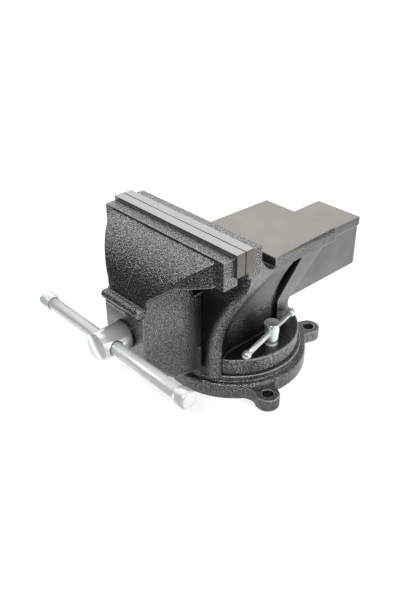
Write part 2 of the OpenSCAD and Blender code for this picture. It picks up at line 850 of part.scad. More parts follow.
function spring_point(i, k) =
    let (
        a = i * 360 * spring_turns / spring_rings,
        b = k * 360 / spring_sides,
        out = [cos(a), 0, sin(a)]
    )
    spring_centre(i) + spring_wire / 2 * (cos(b) * out + sin(b) * [0, 1, 0]);

spring_gap = min([
    for (i = [0 : spring_rings - spring_steps]) norm(spring_centre(i + spring_steps) - spring_centre(i))
]) - spring_wire;
echo(spring_gap = spring_gap);

module spindle_spring() {
    n = spring_sides;
    last = spring_rings;
    wall = [for (i = [0 : last - 1]) for (k = [0 : n - 1])
        each patch(i * n + k, i * n + (k + 1) % n, (i + 1) * n + (k + 1) % n, (i + 1) * n + k)];
    ends = [for (k = [1 : n - 2]) each [[0, k + 1, k], [last * n, last * n + k, last * n + k + 1]]];
    color("darkgray")
        polyhedron([for (i = [0 : last]) for (k = [0 : n - 1]) spring_point(i, k)], concat(wall, ends));
}

// Spindle nut: fixed in the body under the beam's roof, drawn down by a bolt from below

module spindle_nut() {
    color("darkgray")
        difference() {
            union() {
                box([-nut_w / 2, -nut_l / 2, channel_floor], [nut_w / 2, nut_l / 2, channel_floor + nut_foot_t]);
                box([-nut_d / 3, -nut_l / 2, channel_floor], [nut_d / 3, nut_l / 2, axis_z]);
                rod_y(-nut_l / 2, nut_l / 2, nut_d);
            }
            rod_y(-nut_l, nut_l, spindle_d + 2 * fit);
            translate([0, 0, channel_floor - 1])
                cylinder(d = nut_bolt_d + 2 * fit, h = axis_z - spindle_d / 2 - channel_floor - 1);
        }
}

nut_bolt_seat = base_h - spigot_l + nut_bolt_recess;

module nut_bolt() {
    color("gainsboro") {
        translate([0, 0, nut_bolt_seat - nut_washer_t - nut_bolt_head])
            cylinder(d = nut_bolt_af / cos(30), h = nut_bolt_head, $fn = 6);
        translate([0, 0, nut_bolt_seat - nut_washer_t - 1])
            cylinder(d = nut_bolt_d, h = axis_z - spindle_d / 2 - 4 - nut_bolt_seat + nut_washer_t);
    }
}

module nut_washer() {
    color("gainsboro")
        translate([0, 0, nut_bolt_seat - nut_washer_t])
            difference() {
                cylinder(d = nut_washer_d, h = nut_washer_t);
                translate([0, 0, -1]) cylinder(d = nut_bolt_d + 2 * screw_gap, h = nut_washer_t + 2);
            }
}

// Tommy bar: a plain rod that slides through the spindle head, with a pressed cap on each end

bar_left = bar_offset - bar_l / 2;
bar_right = bar_offset + bar_l / 2;

module tommy_bar() {
    color("gainsboro")
        translate([bar_left + cap_end, bar_y, axis_z]) rotate([0, 90, 0])
            cylinder(d = bar_d, h = bar_l - 2 * cap_end);
}

// A cap on the end of a rod that comes from -Z and ends at z = 0
module bar_cap() {
    crown = cap_d / 8;
    throat = (cap_d - bar_d) / 2;
    difference() {
        rotate_extrude()
            difference() {
                union() {
                    translate([0, -cap_l]) square([cap_d / 2, cap_l - crown]);
                    translate([0, -cap_l]) square([cap_d / 2 - crown, cap_l]);
                    translate([cap_d / 2 - crown, -crown]) circle(crown);
                }
                polygon([
                    [cap_d / 2 + eps, -cap_l - eps],
                    [bar_d / 2 + throat / 3, -cap_l - eps],
                    [cap_d / 2 + eps, -cap_l + 2 * throat]
                ]);
            }
        translate([0, 0, -cap_l - 1]) cylinder(d = bar_d + 2 * fit, h = cap_l - cap_end + 1);
    }
}

module bar_cap_left() {
    color("gainsboro") translate([bar_left, bar_y, axis_z]) rotate([0, -90, 0]) bar_cap();
}

module bar_cap_right() {
    color("gainsboro") translate([bar_right, bar_y, axis_z]) rotate([0, 90, 0]) bar_cap();
}

// Swivel lock: on each side a drilled screw with a sliding bar draws a nut up in the tee slot

// The head tapers to its foot and is slightly dished on top
module lock_head() {
    top = lock_head_d / 2;
    foot = lock_foot_d / 2;
    chamfer = lock_head_d / 20;
    waist = mix(foot, top, 0.6);
    rotate_extrude()
        polygon([
            [0, 0], [foot, 0], [waist, lock_head_h / 6], [top - chamfer / 3, lock_head_h - 3 * chamfer],
            [top, lock_head_h - 2.5 * chamfer], [top, lock_head_h - chamfer], [top - chamfer, lock_head_h],
            [top - 1.5 * chamfer, lock_head_h], [0.8 * top - chamfer, lock_head_h - chamfer / 2],
            [0, lock_head_h - chamfer / 2]
        ]);
}

module lock_screw(hand) {
    color("gainsboro")
        lock_places(hand)
            difference() {
                union() {
                    translate([0, 0, lock_base_z]) lock_head();
                    translate([0, 0, tee_nut_z - 1 + eps]) cylinder(d = stud_d, h = lock_base_z - tee_nut_z + 2);
                }
                translate([0, 0, lock_bar_z]) rotate([90, 0, 0])
                    rotate([0, hand * lock_bar_turn, 0])
                        cylinder(d = lock_bar_d + 2 * fit, h = 2 * lock_head_d, center = true);
            }
}

module lock_washer(hand) {
    color("gainsboro")
        lock_places(hand) translate([0, 0, disc_top + eps])
            difference() {
                cylinder(d = lock_washer_d, h = lock_washer_t - 2 * eps);
                translate([0, 0, -1]) cylinder(d = stud_d + 2 * screw_gap, h = lock_washer_t + 2);
            }
}

module slot_nut(hand) {
    color("darkgray")
        lock_places(hand) translate([0, 0, tee_nut_z])
            difference() {
                cylinder(d = tee_nut_d, h = tee_nut_t);
                translate([0, 0, -1]) cylinder(d = stud_d + 2 * fit, h = tee_nut_t + 2);
            }
}

// Frame of a lock bar: +Z runs backwards along the bar
module lock_bar_frame(hand) {
    lock_places(hand) translate([0, 0, lock_bar_z]) rotate([0, 0, hand * lock_bar_turn]) rotate([-90, 0, 0])
        children();
}

knob_seat = 0.35 * lock_knob_d;

module lock_bar(hand) {
    color("gainsboro")
        lock_bar_frame(hand) translate([0, 0, -lock_bar_front + knob_seat])
            cylinder(d = lock_bar_d, h = lock_bar_front + lock_bar_back - 2 * knob_seat);
}

module lock_knobs(hand) {
    color("gainsboro")
        lock_bar_frame(hand)
            difference() {
                union() {
                    translate([0, 0, -lock_bar_front + lock_knob_d / 2]) sphere(d = lock_knob_d);
                    translate([0, 0, lock_bar_back - lock_knob_d / 2]) sphere(d = lock_knob_d);
                }
                translate([0, 0, -lock_bar_front + knob_seat])
                    cylinder(d = lock_bar_d + 2 * fit, h = lock_bar_front + lock_bar_back - 2 * knob_seat);
            }
}

swivel_base();
vise_body();
fixed_jaw_plate();
fixed_jaw_screws();
spindle_nut();
nut_bolt();
nut_washer();
slot_nut(-1);  // slot_nut_left
slot_nut(1);  // slot_nut_right
movable_jaw();
movable_jaw_plate();
movable_jaw_screws();
spindle();
thrust_washer();
spring_washer();
spindle_spring();
retaining_collar();
collar_pin();
tommy_bar();
bar_cap_left();
bar_cap_right();
lock_screw(-1);  // lock_screw_left
lock_screw(1);  // lock_screw_right
lock_washer(-1);  // lock_washer_left
lock_washer(1);  // lock_washer_right
lock_bar(-1);  // lock_bar_left
lock_bar(1);  // lock_bar_right
lock_knobs(-1);  // lock_knobs_left
lock_knobs(1);  // lock_knobs_right
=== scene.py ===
import math

import bmesh
import bpy
from mathutils import Matrix, Vector


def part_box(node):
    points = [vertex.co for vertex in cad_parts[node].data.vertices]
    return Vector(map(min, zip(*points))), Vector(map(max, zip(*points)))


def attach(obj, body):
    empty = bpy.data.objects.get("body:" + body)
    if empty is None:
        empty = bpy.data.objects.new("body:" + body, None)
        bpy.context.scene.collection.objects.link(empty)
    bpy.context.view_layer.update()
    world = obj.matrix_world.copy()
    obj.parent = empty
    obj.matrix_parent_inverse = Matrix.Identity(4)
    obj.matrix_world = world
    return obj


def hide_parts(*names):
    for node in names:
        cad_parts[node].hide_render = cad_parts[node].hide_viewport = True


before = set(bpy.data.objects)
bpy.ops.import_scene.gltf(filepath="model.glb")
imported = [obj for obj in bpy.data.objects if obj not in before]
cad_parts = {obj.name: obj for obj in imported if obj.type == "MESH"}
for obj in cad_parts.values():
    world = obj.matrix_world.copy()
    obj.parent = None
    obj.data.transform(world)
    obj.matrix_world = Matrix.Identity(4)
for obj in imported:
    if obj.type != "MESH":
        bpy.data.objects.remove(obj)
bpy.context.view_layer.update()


# Studio: a pale floor that shows white to the camera and glows as a white sheet in reflections, with painted
# shadow on that sheet close to the vise, a sky that is bright on two sides and dim in front, a soft box high
# in front and three soft lamps. The camera stands in front and to the right of the vise and looks down on
# it.
azimuth = math.radians(47.88)
elevation = math.radians(32.20)
roll = math.radians(-0.55)
camera_place = (0.5269, -0.5319, 0.5517)
outward = math.cos(elevation)
back = Vector((math.sin(azimuth) * outward, -math.cos(azimuth) * outward, math.sin(elevation)))
level = Vector((math.cos(azimuth), math.sin(azimuth), 0.0))
upright = back.cross(level)
right = level * math.cos(roll) + upright * math.sin(roll)
top = upright * math.cos(roll) - level * math.sin(roll)
camera_data = bpy.data.cameras.new("photo_camera")
camera_data.sensor_width = 36.0
camera_data.lens = 42.59
camera_data.clip_end = 50.0
camera = bpy.data.objects.new("photo_camera", camera_data)
camera.matrix_world = Matrix.Translation(camera_place) @ Matrix((right, top, back)).transposed().to_4x4()
bpy.context.scene.collection.objects.link(camera)
bpy.context.scene.camera = camera
bpy.context.scene.view_settings.view_transform = "Standard"


def feed(tree, sockets, values):
    """Links each socket to its value, or sets it where the value is a constant."""
    for socket, value in zip(sockets, values):
        if isinstance(value, bpy.types.NodeSocket):
            tree.links.new(value, socket)
        else:
            socket.default_value = value


def node_math(tree, operation, first, second):
    """A math node between two sockets or numbers."""
    node = tree.nodes.new("ShaderNodeMath")
    node.operation = operation
    feed(tree, node.inputs, (first, second))
    return node.outputs[0]


def node_vector(tree, operation, first, second):
    """A vector math node. A distance or a dot product comes out as a number."""
    node = tree.nodes.new("ShaderNodeVectorMath")
    node.operation = operation
    feed(tree, node.inputs, (first, second))
    return node.outputs["Value" if operation in ("DISTANCE", "DOT_PRODUCT") else "Vector"]


def node_ramp(tree, value, start, end, low, high):
    """Runs smoothly from low to high while the value goes from start to end."""
    node = tree.nodes.new("ShaderNodeMapRange")
    node.interpolation_type = "SMOOTHSTEP"
    names = ("Value", "From Min", "From Max", "To Min", "To Max")
    feed(tree, [node.inputs[name] for name in names], (value, start, end, low, high))
    return node.outputs[0]


def white_glow(tree, strength):
    """A white emission."""
    node = tree.nodes.new("ShaderNodeEmission")
    feed(tree, (node.inputs["Color"], node.inputs["Strength"]), ((1.0, 1.0, 1.0, 1.0), strength))
    return node.outputs[0]


def mix_shaders(tree, mask, first, second):
    """The first shader where the mask is 0, the second where it is 1."""
    node = tree.nodes.new("ShaderNodeMixShader")
    feed(tree, node.inputs, (mask, first, second))
    return node.outputs[0]


floor_reach = 12.0
floor_lift = 0.56
floor_bm = bmesh.new()
bmesh.ops.create_grid(floor_bm, x_segments=1, y_segments=1, size=floor_reach)
floor_mesh = bpy.data.meshes.new("studio_floor")
floor_bm.to_mesh(floor_mesh)
floor_bm.free()
floor = bpy.data.objects.new("studio_floor", floor_mesh)
bpy.context.scene.collection.objects.link(floor)
floor_mat = bpy.data.materials.new("pale_floor")
floor_mat.use_nodes = True
tree = floor_mat.node_tree
tree.nodes.clear()
path = tree.nodes.new("ShaderNodeLightPath")
matte = tree.nodes.new("ShaderNodeBsdfDiffuse")
matte.inputs["Color"].default_value = (0.80, 0.80, 0.79, 1.0)
lifted = tree.nodes.new("ShaderNodeAddShader")
feed(tree, lifted.inputs, (matte.outputs[0], white_glow(tree, floor_lift)))
sheet_centre = (0.08, -0.09, 0.0)
sheet_front = (0.45, -0.893, 0.0)
sheet_beyond = 0.15
place = tree.nodes.new("ShaderNodeTexCoord").outputs["Object"]
reach = node_vector(tree, "DISTANCE", place, sheet_centre)
forward = node_vector(tree, "DOT_PRODUCT", place, sheet_front)
lit_sheet = node_math(
    tree, "MULTIPLY",
    node_ramp(tree, reach, 0.45, 0.75, 1.0, sheet_beyond),
    node_ramp(tree, forward, 0.205, 0.25, 1.0, sheet_beyond))
# Painted shadow: close to the vise the sheet's glow is dimmed, as if the vise shaded it.
shaded_sheet = node_ramp(tree, reach, 0.04, 0.20, 0.60, 1.28)
sheet = white_glow(tree, node_math(tree, "MULTIPLY", lit_sheet, shaded_sheet))
by_eye = mix_shaders(tree, path.outputs["Is Camera Ray"], matte.outputs[0], lifted.outputs[0])
mirrored = node_math(tree, "MAXIMUM", path.outputs["Is Glossy Ray"], path.outputs["Is Transmission Ray"])
floor_out = tree.nodes.new("ShaderNodeOutputMaterial")
tree.links.new(mix_shaders(tree, mirrored, by_eye, sheet), floor_out.inputs["Surface"])
floor_mesh.materials.append(floor_mat)

world = bpy.data.worlds.new("studio_room")
world.use_nodes = True
bpy.context.scene.world = world
tree = world.node_tree
tree.nodes.clear()
path = tree.nodes.new("ShaderNodeLightPath")
view_way = tree.nodes.new("ShaderNodeTexCoord").outputs["Generated"]
rear_sky = (-0.755, 0.352, 0.553)
right_sky = (0.90, 0.32, 0.30)
soft_box = (-0.05, -0.555, 0.83)
plain_level = 0.67
two_sides = node_math(
    tree, "ADD",
    node_ramp(tree, node_vector(tree, "DOT_PRODUCT", view_way, rear_sky), 0.50, 0.88, 0.065, 1.185),
    node_ramp(tree, node_vector(tree, "DOT_PRODUCT", view_way, right_sky), 0.30, 0.80, 0.0, 0.42))
sky = node_math(
    tree, "ADD", two_sides,
    node_ramp(tree, node_vector(tree, "DOT_PRODUCT", view_way, soft_box), 0.95, 0.985, 0.0, 1.7))
by_mirror = tree.nodes.new("ShaderNodeMix")
feed(
    tree, (by_mirror.inputs[0], by_mirror.inputs[2], by_mirror.inputs[3]),
    (path.outputs["Is Glossy Ray"], plain_level, sky))
seen_room = node_math(tree, "MAXIMUM", path.outputs["Is Camera Ray"], path.outputs["Is Transmission Ray"])
room_light = tree.nodes.new("ShaderNodeBackground")
room_light.inputs["Color"].default_value = (1.0, 1.0, 1.0, 1.0)
tree.links.new(node_math(tree, "MAXIMUM", by_mirror.outputs[0], seen_room), room_light.inputs["Strength"])
room_out = tree.nodes.new("ShaderNodeOutputWorld")
tree.links.new(room_light.outputs[0], room_out.inputs["Surface"])


def soft_light(name, place, aim, width, height, power):
    """A rectangular lamp that looks at a point."""
    data = bpy.data.lights.new(name, "AREA")
    data.shape = "RECTANGLE"
    data.size = width
    data.size_y = height
    data.energy = power
    lamp = bpy.data.objects.new(name, data)
    way = Vector(aim) - Vector(place)
    lamp.matrix_world = Matrix.Translation(place) @ way.to_track_quat("-Z", "Y").to_matrix().to_4x4()
    bpy.context.scene.collection.objects.link(lamp)


soft_light("right_light", (1.5, 0.15, 0.75), (0.0, 0.0, 0.1), 1.2, 1.0, 4.0)
soft_light("overhead_light", (-0.3, 0.5, 1.7), (0.0, 0.0, 0.1), 1.4, 1.4, 1.5)
soft_light("front_light", (0.70, -0.90, 1.05), (0.0, -0.05, 0.1), 0.20, 0.20, 4.0)


# Swivel base: a heavy round iron casting with four bolt lugs, sprayed with dark hammer-finish paint. Its
# edges are left as cast, so they are soft, and they are painted lighter as wear and as a painted highlight;
# the paint pools in small dimples, and its corners and holes carry painted shade.
merge_gap = 2e-6
cast_voxel = 0.0010
cast_rounds = 3


def merged_mesh(node, name):
    """A copy of a CAD piece's mesh, and a bmesh of it whose doubled corners are merged."""
    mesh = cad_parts[node].data.copy()
    mesh.name = name
    mesh.materials.clear()
    bm = bmesh.new()
    bm.from_mesh(mesh)
    bmesh.ops.remove_doubles(bm, verts=bm.verts[:], dist=merge_gap)
    return mesh, bm


def new_piece(mesh, bm):
    """Writes a bmesh into its mesh, and puts that in the scene."""
    bm.to_mesh(mesh)
    bm.free()
    piece = bpy.data.objects.new(mesh.name, mesh)
    bpy.context.scene.collection.objects.link(piece)
    return piece


def shade_smooth(mesh, smooth):
    """Shades all faces smooth, or all flat."""
    mesh.polygons.foreach_set("use_smooth", [smooth] * len(mesh.polygons))


def cast_copy(node, name, share):
    """A copy of a CAD casting, with edges as round as a sand mould leaves them and a share of its faces."""
    piece = new_piece(*merged_mesh(node, name))
    skin = piece.modifiers.new("cast_skin", "REMESH")
    skin.mode = "VOXEL"
    skin.voxel_size = cast_voxel
    soften = piece.modifiers.new("soft_edges", "SMOOTH")
    soften.factor = 0.5
    soften.iterations = cast_rounds
    thin = piece.modifiers.new("fewer_faces", "DECIMATE")
    thin.ratio = share
    solved = piece.evaluated_get(bpy.context.evaluated_depsgraph_get())
    rounded = bpy.data.meshes.new_from_object(solved)
    piece.modifiers.clear()
    piece.data = rounded
    rounded.name = name
    shade_smooth(rounded, True)
    rounded.update()
    return piece


def hammer_finish():
    """Node group: the dimples, bright flecks and edges of hammer-finish paint; the edge mask marks where
    wear and painted highlight go.
    """
    group = bpy.data.node_groups.new("hammer_finish", "ShaderNodeTree")
    group.interface.new_socket("Size", in_out="INPUT", socket_type="NodeSocketFloat").default_value = 430.0
    for name in ("Fleck", "Height", "Cloud", "Edge"):
        group.interface.new_socket(name, in_out="OUTPUT", socket_type="NodeSocketFloat")
    entry = group.nodes.new("NodeGroupInput")
    leave = group.nodes.new("NodeGroupOutput")
    place = group.nodes.new("ShaderNodeTexCoord").outputs["Object"]
    cells = group.nodes.new("ShaderNodeTexVoronoi")
    cells.feature = "SMOOTH_F1"
    cells.inputs["Smoothness"].default_value = 0.5
    group.links.new(place, cells.inputs["Vector"])
    group.links.new(entry.outputs["Size"], cells.inputs["Scale"])
    grain = group.nodes.new("ShaderNodeTexNoise")
    grain.inputs["Detail"].default_value = 2.0
    grain.inputs["Roughness"].default_value = 0.6
    group.links.new(place, grain.inputs["Vector"])
    group.links.new(node_math(group, "MULTIPLY", entry.outputs["Size"], 2.3), grain.inputs["Scale"])
    group.links.new(node_ramp(group, grain.outputs[0], 0.40, 0.66, 0.0, 1.0), leave.inputs["Fleck"])
    pits = node_math(group, "MULTIPLY", grain.outputs[0], 0.7)
    group.links.new(node_math(group, "ADD", pits, cells.outputs["Distance"]), leave.inputs["Height"])
    cloud = group.nodes.new("ShaderNodeTexNoise")
    cloud.inputs["Scale"].default_value = 28.0
    cloud.inputs["Detail"].default_value = 4.0
    group.links.new(place, cloud.inputs["Vector"])
    group.links.new(cloud.outputs[0], leave.inputs["Cloud"])
    bend = group.nodes.new("ShaderNodeNewGeometry")
    edge = node_ramp(group, bend.outputs["Pointiness"], 0.512, 0.540, 0.0, 1.0)
    group.links.new(edge, leave.inputs["Edge"])
    return group


def add_group(tree, group, **values):
    """Places a node group with some of its inputs set, and gives its outputs."""
    node = tree.nodes.new("ShaderNodeGroup")
    node.node_tree = group
    for name, value in values.items():
        node.inputs[name].default_value = value
    return node.outputs


def new_surface(name, metallic, roughness):
    """A material with one Principled BSDF."""
    mat = bpy.data.materials.new(name)
    mat.use_nodes = True
    tree = mat.node_tree
    shader = tree.nodes["Principled BSDF"]
    shader.inputs["Metallic"].default_value = metallic
    shader.inputs["Roughness"].default_value = roughness
    return mat, tree, shader


def blend_colour(tree, mask, low, high):
    """A colour that runs from low to high as the mask goes from 0 to 1."""
    mix = tree.nodes.new("ShaderNodeMix")
    mix.data_type = "RGBA"
    ends = [end if isinstance(end, bpy.types.NodeSocket) else (*end, 1.0) for end in (low, high)]
    feed(tree, (mix.inputs[0], mix.inputs[6], mix.inputs[7]), (mask, *ends))
    return mix.outputs[2]


def blend_value(tree, mask, low, high):
    """A number that runs from low to high as the mask goes from 0 to 1."""
    mix = tree.nodes.new("ShaderNodeMix")
    feed(tree, (mix.inputs[0], mix.inputs[2], mix.inputs[3]), (mask, low, high))
    return mix.outputs[0]


def recess_shade():
    """Node group: a painted shade mask, 1 on open faces and 0 deep in corners and holes, where shade falls.
    """
    group = bpy.data.node_groups.new("recess_shade", "ShaderNodeTree")
    group.interface.new_socket("Reach", in_out="INPUT", socket_type="NodeSocketFloat").default_value = 0.04
    group.interface.new_socket("Start", in_out="INPUT", socket_type="NodeSocketFloat").default_value = 0.30
    group.interface.new_socket("Open", in_out="OUTPUT", socket_type="NodeSocketFloat")
    entry = group.nodes.new("NodeGroupInput")
    leave = group.nodes.new("NodeGroupOutput")
    hollow = group.nodes.new("ShaderNodeAmbientOcclusion")
    hollow.samples = 8
    hollow.only_local = True
    group.links.new(entry.outputs["Reach"], hollow.inputs["Distance"])
    open_face = node_ramp(group, hollow.outputs["AO"], entry.outputs["Start"], 0.75, 0.0, 1.0)
    group.links.new(open_face, leave.inputs["Open"])
    return group


def raise_surface(tree, shader, height, strength, distance):
    """Feeds a height into the shader's normal."""
    bump = tree.nodes.new("ShaderNodeBump")
    bump.inputs["Strength"].default_value = strength
    bump.inputs["Distance"].default_value = distance
    tree.links.new(height, bump.inputs["Height"])
    tree.links.new(bump.outputs[0], shader.inputs["Normal"])


hammer = hammer_finish()
recess = recess_shade()
base_paint, tree, shader = new_surface("base_hammer_paint", 0.96, 0.38)
dimples = add_group(tree, hammer, Size=470.0)
coat = blend_colour(tree, dimples["Fleck"], (0.045, 0.045, 0.044), (0.40, 0.40, 0.39))
# Painted shade: the coat goes near-black in corners and holes.
open_face = add_group(tree, recess, Reach=0.02, Start=0.35)["Open"]
coat = blend_colour(tree, open_face, (0.02, 0.02, 0.019), coat)
# Lighter edges: worn paint and a painted highlight on every edge.
edge_wear_and_highlight = node_math(tree, "MULTIPLY", dimples["Edge"], 0.6)
tree.links.new(blend_colour(tree, edge_wear_and_highlight, coat, (0.72, 0.72, 0.70)), shader.inputs["Base Color"])
glint = node_math(tree, "MULTIPLY", dimples["Edge"], dimples["Fleck"])
tree.links.new(blend_value(tree, glint, 0.96, 0.45), shader.inputs["Metallic"])
tree.links.new(blend_value(tree, dimples["Cloud"], 0.18, 0.30), shader.inputs["Roughness"])
raise_surface(tree, shader, dimples["Height"], 0.6, 0.0009)

base = cast_copy("swivel_base", "base_casting", share=0.75)
base.data.materials.append(base_paint)
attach(base, "base")
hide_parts("swivel_base")


# Vise body: disc, column, yoke, ribs and anvil in one iron casting. The paint is the same
# hammer finish, thinner and smoother on the rear sides, and the anvil's top is ground bare.
def box_mask():
    """Node group: 1 inside a box given by its lowest and highest corners, 0 outside."""
    group = bpy.data.node_groups.new("inside_box", "ShaderNodeTree")
    group.interface.new_socket("Low", in_out="INPUT", socket_type="NodeSocketVector")
    group.interface.new_socket("High", in_out="INPUT", socket_type="NodeSocketVector")
    group.interface.new_socket("Soft", in_out="INPUT", socket_type="NodeSocketFloat").default_value = 0.0002
    group.interface.new_socket("Mask", in_out="OUTPUT", socket_type="NodeSocketFloat")
    entry = group.nodes.new("NodeGroupInput")
    leave = group.nodes.new("NodeGroupOutput")
    place = group.nodes.new("ShaderNodeTexCoord").outputs["Object"]
    depth = node_vector(
        group, "MINIMUM",
        node_vector(group, "SUBTRACT", place, entry.outputs["Low"]),
        node_vector(group, "SUBTRACT", entry.outputs["High"], place))
    parts = group.nodes.new("ShaderNodeSeparateXYZ")
    group.links.new(depth, parts.inputs[0])
    least = node_math(group, "MINIMUM", parts.outputs[0], parts.outputs[1])
    least = node_math(group, "MINIMUM", least, parts.outputs[2])
    step = node_math(group, "DIVIDE", least, entry.outputs["Soft"])
    step.node.use_clamp = True
    group.links.new(step, leave.inputs["Mask"])
    return group


inside_box = box_mask()


def mask_box(tree, low, high, soft):
    """A box mask placed in a material."""
    return add_group(tree, inside_box, Low=low, High=high, Soft=soft)["Mask"]


def grinding_marks():
    """Node group: long fine scratches along one axis, as a grinding wheel leaves them."""
    group = bpy.data.node_groups.new("grinding_marks", "ShaderNodeTree")
    stretch = group.interface.new_socket("Stretch", in_out="INPUT", socket_type="NodeSocketVector")
    stretch.default_value = (900.0, 12.0, 900.0)
    group.interface.new_socket("Marks", in_out="OUTPUT", socket_type="NodeSocketFloat")
    group.interface.new_socket("Stain", in_out="OUTPUT", socket_type="NodeSocketFloat")
    entry = group.nodes.new("NodeGroupInput")
    leave = group.nodes.new("NodeGroupOutput")
    place = group.nodes.new("ShaderNodeTexCoord").outputs["Object"]
    marks = group.nodes.new("ShaderNodeTexNoise")
    marks.inputs["Scale"].default_value = 1.0
    marks.inputs["Detail"].default_value = 4.0
    marks.inputs["Roughness"].default_value = 0.6
    group.links.new(node_vector(group, "MULTIPLY", place, entry.outputs["Stretch"]), marks.inputs["Vector"])
    group.links.new(marks.outputs[0], leave.inputs["Marks"])
    stain = group.nodes.new("ShaderNodeTexNoise")
    stain.inputs["Scale"].default_value = 22.0
    stain.inputs["Detail"].default_value = 3.0
    group.links.new(place, stain.inputs["Vector"])
    group.links.new(stain.outputs[0], leave.inputs["Stain"])
    return group


grinding = grinding_marks()


def casting_paint(name, smooth_box, ground_box, machined_box, patches):
    """Hammer-finish paint with a smoother coat, bare ground metal and machined metal in boxes, lighter edges
    for wear and painted highlight, and painted shade in corners and recesses.

    Each patch is a grey level and the box that is painted with it: near-black patches are painted shade, and
    a light patch is a painted highlight along a seam.
    """
    mat, tree, shader = new_surface(name, 0.96, 0.38)
    dimples = add_group(tree, hammer)
    marks = add_group(tree, grinding)
    smooth = mask_box(tree, *smooth_box)
    ground = mask_box(tree, *ground_box)
    machined = mask_box(tree, *machined_box)
    rough_coat = blend_colour(tree, dimples["Fleck"], (0.05, 0.05, 0.049), (0.52, 0.52, 0.51))
    thin_coat = blend_colour(tree, dimples["Cloud"], (0.15, 0.153, 0.153), (0.31, 0.315, 0.315))
    coat = blend_colour(tree, smooth, rough_coat, thin_coat)
    # Lighter edges: worn paint and a painted highlight on every edge.
    edge_wear_and_highlight = node_math(tree, "MULTIPLY", dimples["Edge"], 0.8)
    coat = blend_colour(tree, edge_wear_and_highlight, coat, (0.50, 0.50, 0.48))
    turned = blend_colour(tree, marks["Marks"], (0.148, 0.157, 0.16), (0.20, 0.209, 0.213))
    coat = blend_colour(tree, machined, coat, turned)
    # Boxes of painted shade, and a painted highlight along a seam.
    for grey, patch_box in patches:
        coat = blend_colour(tree, mask_box(tree, *patch_box), coat, (grey, grey, grey * 0.97))
    # Painted shade: near-black in corners and recesses.
    coat = blend_colour(tree, add_group(tree, recess)["Open"], (0.05, 0.05, 0.049), coat)
    steel = blend_colour(tree, marks["Stain"], (0.29, 0.277, 0.245), (0.38, 0.365, 0.33))
    tree.links.new(blend_colour(tree, ground, coat, steel), shader.inputs["Base Color"])
    glint = node_math(tree, "MULTIPLY", dimples["Edge"], dimples["Fleck"])
    metallic = blend_value(tree, ground, blend_value(tree, glint, 0.96, 0.50), 1.0)
    tree.links.new(metallic, shader.inputs["Metallic"])
    roughness = blend_value(tree, ground, blend_value(tree, smooth, 0.24, 0.45), 0.36)
    tree.links.new(roughness, shader.inputs["Roughness"])
    bare = node_math(tree, "MAXIMUM", ground, machined)
    flat = node_math(tree, "MAXIMUM", node_math(tree, "MULTIPLY", smooth, 0.8), bare)
    raise_surface(tree, shader, blend_value(tree, flat, dimples["Height"], 0.5), 0.6, 0.0009)
    return mat


# Painted shade: near-black boxes on the yoke's front next to the jaw, in the low pocket and on the disc's
# top, where shade falls.
painted_shade_grey = 0.05
rear_sides = ((-0.2, -0.055, 0.085), (0.2, 0.3, 0.172), 0.03)
anvil_top = ((-0.0602, 0.0063, 0.1618), (0.0602, 0.1160, 0.2), 0.0002)
column_face = ((-0.030, -0.0848, 0.028), (0.030, -0.083, 0.060), 0.0005)
painted_shade_yoke_front = ((-0.085, -0.090, 0.028), (0.085, -0.0815, 0.180), 0.0025)
painted_shade_pocket = ((-0.060, -0.070, 0.000), (0.060, 0.050, 0.088), 0.0200)
painted_shade_disc_top = ((-0.100, -0.100, 0.0487), (0.100, 0.100, 0.0497), 0.0006)
body = cast_copy("vise_body", "body_casting", share=0.42)
body.data.materials.append(casting_paint(
    "body_hammer_paint", rear_sides, anvil_top, column_face,
    ((painted_shade_grey, painted_shade_yoke_front), (painted_shade_grey, painted_shade_pocket), (painted_shade_grey, painted_shade_disc_top))))
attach(body, "body")
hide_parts("vise_body")


# Movable jaw: rim, winged apron, front block and hollow beam, one iron casting painted as the
# body is. The beam's top and the face around the spindle are machined.
# A light grey line along the apron's parting seam: the seam is real, its lightness is a painted highlight.
seam_highlight_grey = 0.60
beam_sides = ((-0.2, -0.060, 0.0), (0.2, 0.3, 0.3), 0.01)
beam_top = ((-0.0353, -0.070, 0.1425), (0.0353, 0.3, 0.16), 0.0002)
block_face = ((-0.0325, -0.170, 0.0), (0.0325, -0.1662, 0.1375), 0.0006)
# Painted shade: near-black boxes behind and under the front block and on the apron's lower part, where shade
# falls.
painted_shade_block_rear = ((-0.0600, -0.1120, -0.03), (0.0600, -0.0700, 0.140), 0.0240)
painted_shade_block_foot = ((-0.0550, -0.1900, -0.05), (0.0550, -0.0600, 0.120), 0.1000)
painted_shade_apron_foot = ((-0.2000, -0.3000, 0.135), (0.2000, -0.1150, 0.188), 0.1000)
apron_seam = ((-0.0006, -0.1700, 0.162), (0.0006, -0.1400, 0.190), 0.0004)
jaw = cast_copy("movable_jaw", "jaw_casting", share=0.45)
jaw.data.materials.append(casting_paint(
    "jaw_hammer_paint", beam_sides, beam_top, block_face,
    ((painted_shade_grey, painted_shade_block_rear), (painted_shade_grey, painted_shade_block_foot), (painted_shade_grey, painted_shade_apron_foot),
     (seam_highlight_grey, apron_seam))))
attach(jaw, "jaw")
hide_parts("movable_jaw")


